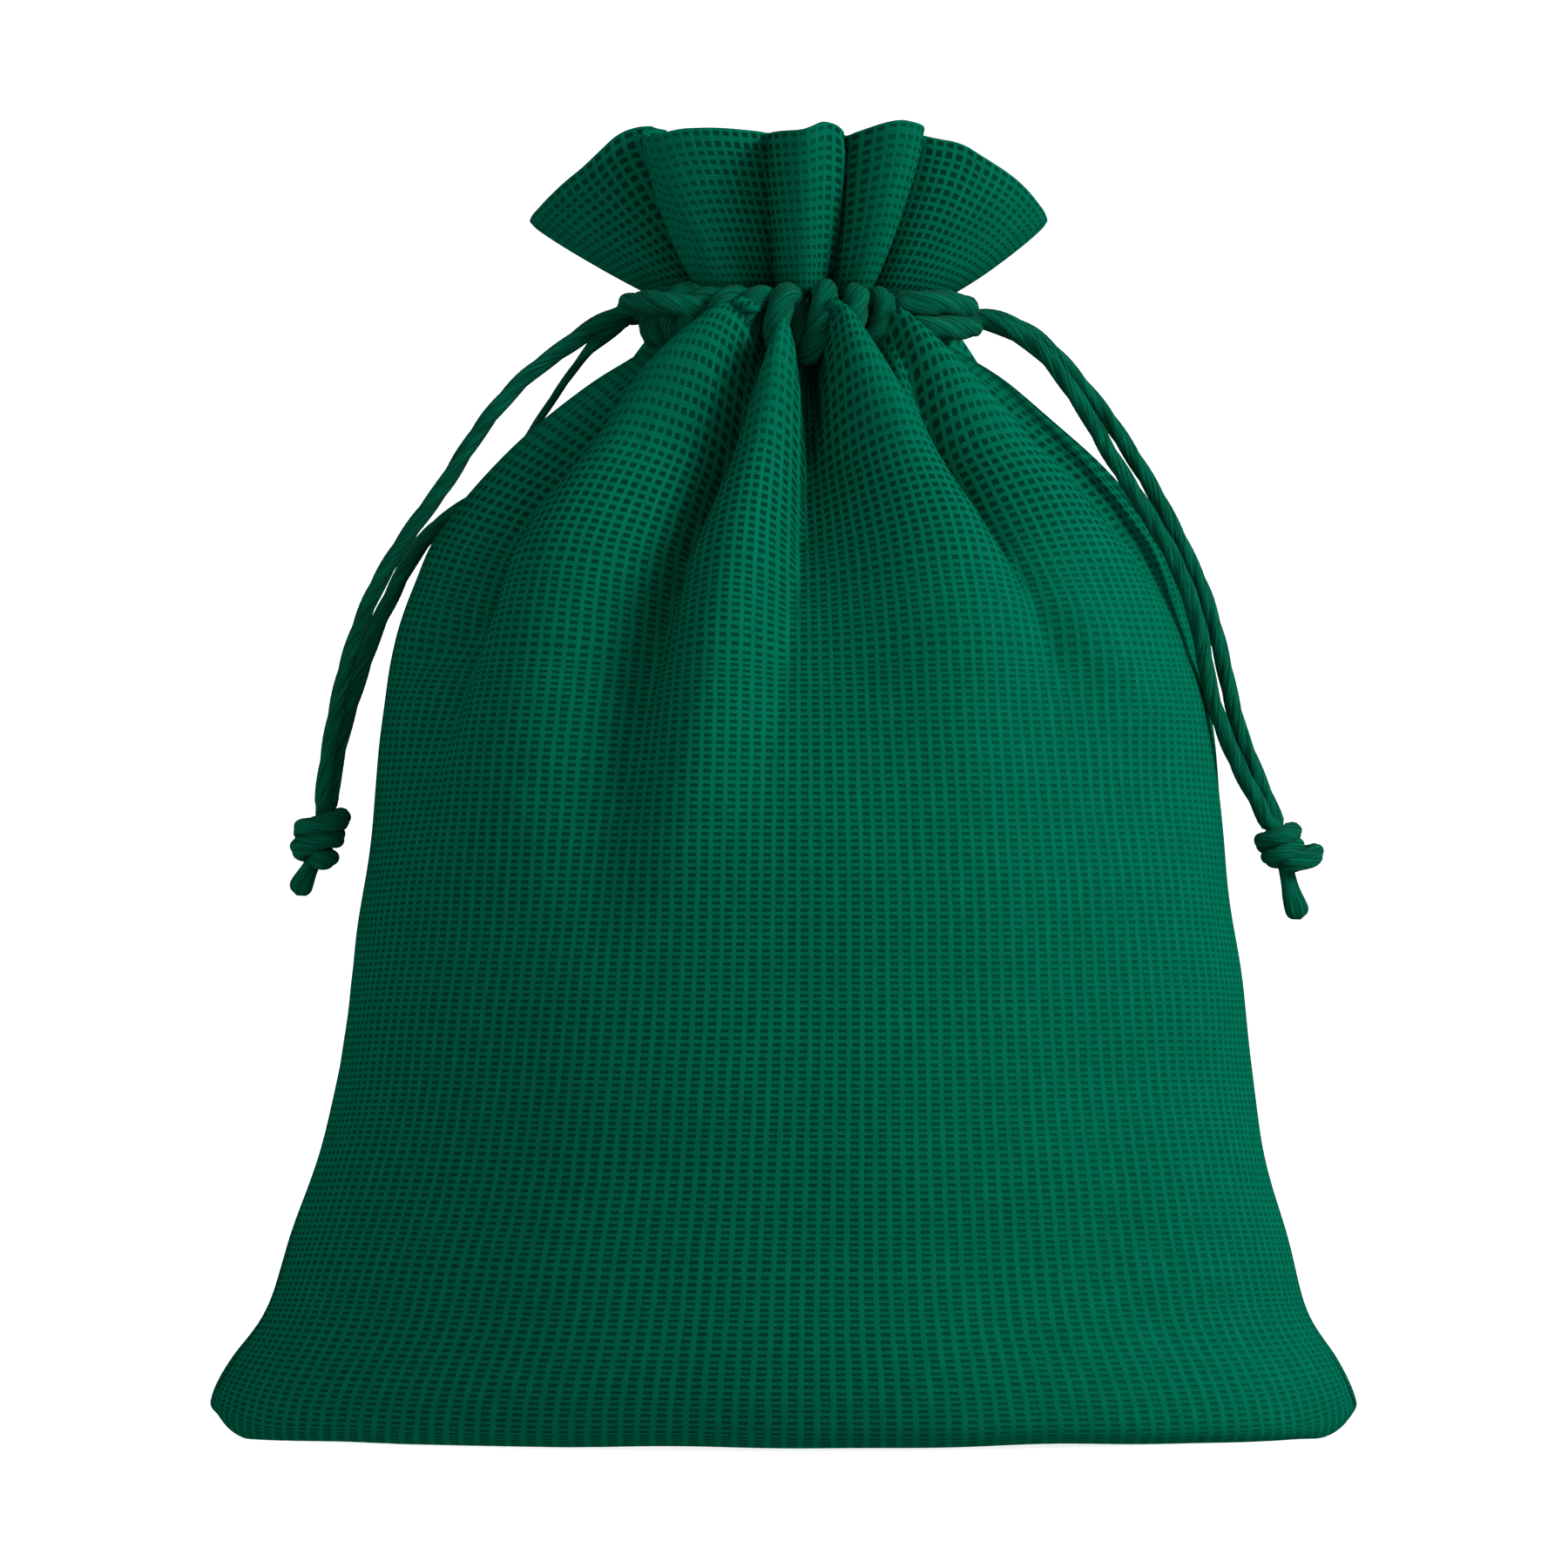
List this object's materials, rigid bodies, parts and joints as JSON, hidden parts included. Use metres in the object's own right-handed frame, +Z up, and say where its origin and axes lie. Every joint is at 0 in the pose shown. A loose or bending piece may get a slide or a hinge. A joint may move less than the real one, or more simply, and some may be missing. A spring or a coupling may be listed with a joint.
{
  "type": "fabric gift sack",
  "caption": "Small filled drawstring sack of coarse woven cloth with a flared frill, drawcords leaving the neck at each side, and knotted tails.",
  "frame": {"origin": "on the standing surface, under the middle of the sack's box without its free cords", "axes": "+Z up through the neck, the front faces -Y, +X to the right seen from the front"},
  "size_m": [0.1998, 0.0992, 0.2274],
  "materials": {
    "woven_cloth": "coarse open leno weave, matt",
    "sewn_edge": "overlocked and hemmed cloth, matt",
    "twisted_cord": "three-strand twisted cotton, matt with a soft sheen"
  },
  "bodies": {
    "sack": {"front_panel": "woven_cloth", "back_panel": "woven_cloth", "front_casing": "woven_cloth", "back_casing": "woven_cloth", "front_frill": "woven_cloth", "back_frill": "woven_cloth", "front_hem": "sewn_edge", "back_hem": "sewn_edge", "left_side_seam": "sewn_edge", "right_side_seam": "sewn_edge", "bottom_seam": "sewn_edge", "left_cord_loop": "twisted_cord", "right_cord_loop": "twisted_cord"},
    "left_runner": {"left_runner_front": "twisted_cord", "left_runner_rear": "twisted_cord"},
    "left_tails": {"left_tail_front": "twisted_cord", "left_tail_rear": "twisted_cord", "left_knot": "twisted_cord"},
    "right_runner": {"right_runner_front": "twisted_cord", "right_runner_rear": "twisted_cord"},
    "right_tails": {"right_tail_front": "twisted_cord", "right_tail_rear": "twisted_cord", "right_knot": "twisted_cord"}
  },
  "joints": [
    {"name": "left_cord_draw", "type": "slide", "parent": "sack", "child": "left_runner", "axis": [-1, 0, 0], "range_m": [0, 0.01]},
    {"name": "left_tails_swing", "type": "hinge", "parent": "left_runner", "child": "left_tails", "pos_m": [-0.0265, 0, 0.1966], "axis": [0, 1, 0], "range_deg": [0, 45]},
    {"name": "right_cord_draw", "type": "slide", "parent": "sack", "child": "right_runner", "axis": [1, 0, 0], "range_m": [0, 0.01]},
    {"name": "right_tails_swing", "type": "hinge", "parent": "right_runner", "child": "right_tails", "pos_m": [0.0303, 0, 0.1954], "axis": [0, -1, 0], "range_deg": [0, 28]}
  ]
}
